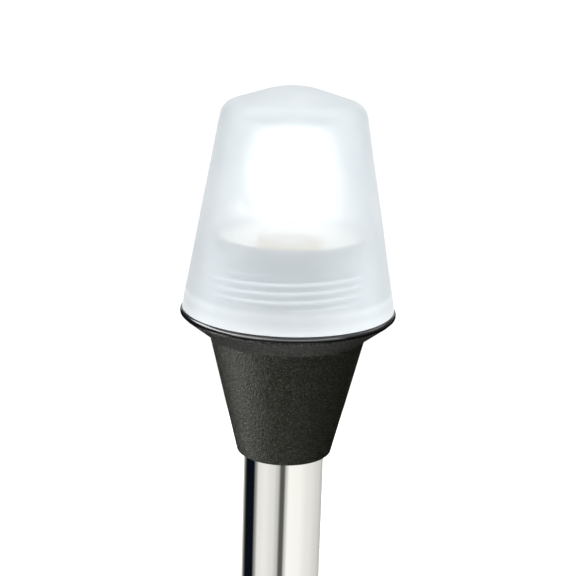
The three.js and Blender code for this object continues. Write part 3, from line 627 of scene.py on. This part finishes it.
def floor_look():
    s = Shader("studio_floor")
    colour = s.mix(s.ramp(s.noise(400.0, 2.0), 0.3, 0.7), (0.9, 0.9, 0.9, 1), (0.92, 0.92, 0.92, 1))
    matte = s.add("BsdfDiffuse", {"Color": colour}).outputs[0]
    return s.finish(s.blend(0.65, matte, s.emission((1, 1, 1, 1), 1.15)))


def card_look(name, level):
    s = Shader(name)
    warm = (level * 1.04, level * 1.04, level * 1.02, 1)
    colour = s.mix(s.ramp(s.noise(300.0, 1.0), 0.3, 0.7), (level, level, level, 1), warm)
    return s.finish(s.emission(colour, 1.0))


def gradient_look(name, stops):
    """A reflector whose brightness changes smoothly with the azimuth."""
    s = Shader(name)
    x, y, _ = s.axes()
    turn = s.math("DIVIDE", s.math("ARCTAN2", x, s.times(y, -1.0)), TURN)
    ramp = s.add("ValToRGB", {"Fac": s.plus(turn, 0.5)})
    ramp.color_ramp.interpolation = "EASE"
    elements = ramp.color_ramp.elements
    while len(elements) < len(stops):
        elements.new(0.5)
    for element, (azimuth, level) in zip(elements, stops):
        element.position = azimuth / 360 + 0.5
        element.color = (*WARM_GREY * level, 1) if level > BLACK_BELOW else BLUE_BLACK
    return s.finish(s.emission(ramp.outputs[0], 1.0))


def sheet(name, corners, faces, look):
    mesh = bpy.data.meshes.new(name)
    mesh.from_pydata(corners, [], faces)
    obj = bpy.data.objects.new(name, mesh)
    bpy.context.scene.collection.objects.link(obj)
    obj.data.materials.append(look)
    return obj


def reflector(name, corners, faces, look, receivers=None, on_matte=False):
    """A sheet that shows only in glossy surfaces and, if asked, lights matte ones."""
    obj = sheet(name, corners, faces, look)
    obj.visible_camera = False
    obj.visible_shadow = False
    obj.visible_transmission = False
    obj.visible_diffuse = on_matte
    if receivers:
        obj.light_linking.receiver_collection = receivers


def card(name, start, end, distance, foot, height, look, **more):
    """An upright curved card between two azimuths."""
    steps = round(abs(end - start) / CARD_STEP)
    corners = []
    for k in range(steps + 1):
        a = math.radians(start + (end - start) * k / steps)
        low = Vector((math.sin(a), -math.cos(a), 0)) * distance + Vector((0, 0, foot))
        corners += [low, low + Vector((0, 0, height))]
    faces = [(2 * k, 2 * k + 2, 2 * k + 3, 2 * k + 1) for k in range(steps)]
    reflector(name, corners, faces, look, **more)


def floor_ring(name, inner, outer, look, **more):
    """A flat ring just over the floor."""
    corners = [(x, y, OVER_FLOOR) for radius in (inner, outer) for x, y in around(radius, SMALL)]
    following = [(k + 1) % SMALL for k in range(SMALL)]
    faces = [(k, n, SMALL + n, SMALL + k) for k, n in enumerate(following)]
    reflector(name, corners, faces, look, **more)


def receiver_group(name, objects):
    group = bpy.data.collections.new(name)
    for obj in objects:
        group.objects.link(obj)
    return group


def softbox(name, azimuth, elevation, distance, width, height, power, receivers=None):
    """A rectangular light that faces the globe's lower edge."""
    data = bpy.data.lights.new(name, "AREA")
    data.shape = "RECTANGLE"
    data.size = width
    data.size_y = height
    data.energy = power
    obj = bpy.data.objects.new(name, data)
    a, e = math.radians(azimuth), math.radians(elevation)
    away = Vector((math.sin(a) * math.cos(e), -math.cos(a) * math.cos(e), math.sin(e)))
    obj.location = Vector((0, 0, RIM * MM)) + away * distance
    obj.rotation_euler = away.to_track_quat("Z", "Y").to_euler()
    bpy.context.scene.collection.objects.link(obj)
    if receivers:
        obj.light_linking.receiver_collection = receivers
    return obj


black_parts = receiver_group("black_parts", [housing, seal_ring])
metal_parts = receiver_group("metal_parts", [tube])
globe_parts = receiver_group("globe_parts", [lens])
tube_and_globe = receiver_group("tube_and_globe", [tube, lens])

floor_corners = [(x * FLOOR_HALF, y * FLOOR_HALF, 0) for x, y in ((-1, -1), (1, -1), (1, 1), (-1, 1))]
sheet("studio_floor", floor_corners, [(0, 1, 2, 3)], floor_look())
round_the_tube = gradient_look("tube_surround", [
    (-180, 0.9), (-163, 0.85), (-150, 0.55), (-134, 0.08), (-124, 0.01), (-90, 0.01), (-81, 0.3), (-71, 0.8),
    (-50, 0.87), (-25, 0.77), (-13, 0.58), (-4, 0.1), (3, 0.1), (11, 0.66), (18, 1.0), (45, 0.98), (80, 0.83),
    (120, 0.69), (148, 0.54), (180, 0.54),
])
card("tube_surround", -180, 180, 0.26, 0, 0.2, round_the_tube, receivers=tube_and_globe)
for start, end, level in ((-130, -55, 9.0), (-55, 60, 4.0), (60, 100, 0.8), (100, 140, 1.5)):
    card("glint", start, end, 0.27, 0.32, 0.12, card_look("glint", level), receivers=black_parts)
card("shade_left", -150, -60, 0.45, 0, 0.6, card_look("shade", 0.05), on_matte=True)
card("shade_right", 60, 150, 0.45, 0, 0.6, card_look("shade", 0.2), on_matte=True)
# The surround goes on along the floor, for the tube alone.
floor_ring("tube_surround_floor", 0.07, 0.262, round_the_tube, receivers=metal_parts)

softbox("key_left", -45, 35, 1.0, 0.6, 0.6, 6, black_parts)
for side in (-1, 1):
    softbox("soft_side", 40 * side, 15, 0.6, 0.5, 0.5, 1.6, globe_parts).visible_glossy = False
backlight = softbox("backlight", 180, -8, 0.5, 0.66, 0.2, 5.0)
backlight.visible_camera = False
backlight.visible_glossy = False
# It is linked to the black parts, so that the globe's edge stays shaded.
softbox("low_left", -85, -40, 0.3, 0.15, 0.15, 0.7, black_parts)

world = bpy.data.worlds.new("studio")
world.use_nodes = True
background = world.node_tree.nodes["Background"]
background.inputs["Color"].default_value = (1, 1, 1, 1)
background.inputs["Strength"].default_value = 1.0
bpy.context.scene.world = world

# ---------- camera ----------
PITCH = 15  # degrees down
ROLL = 1.78
camera = bpy.data.cameras.new("camera")
camera.lens = 80
camera.sensor_width = 36
camera_object = bpy.data.objects.new("camera", camera)
bpy.context.scene.collection.objects.link(camera_object)
camera_object.matrix_world = (
    Matrix.Translation(Vector((-0.168, -286.26, RIM + 81.06)) * MM)
    @ Matrix.Rotation(math.radians(90 - PITCH), 4, "X")
    @ Matrix.Rotation(math.radians(ROLL), 4, "Z")
)
bpy.context.scene.camera = camera_object
bpy.context.scene.view_settings.view_transform = "Standard"
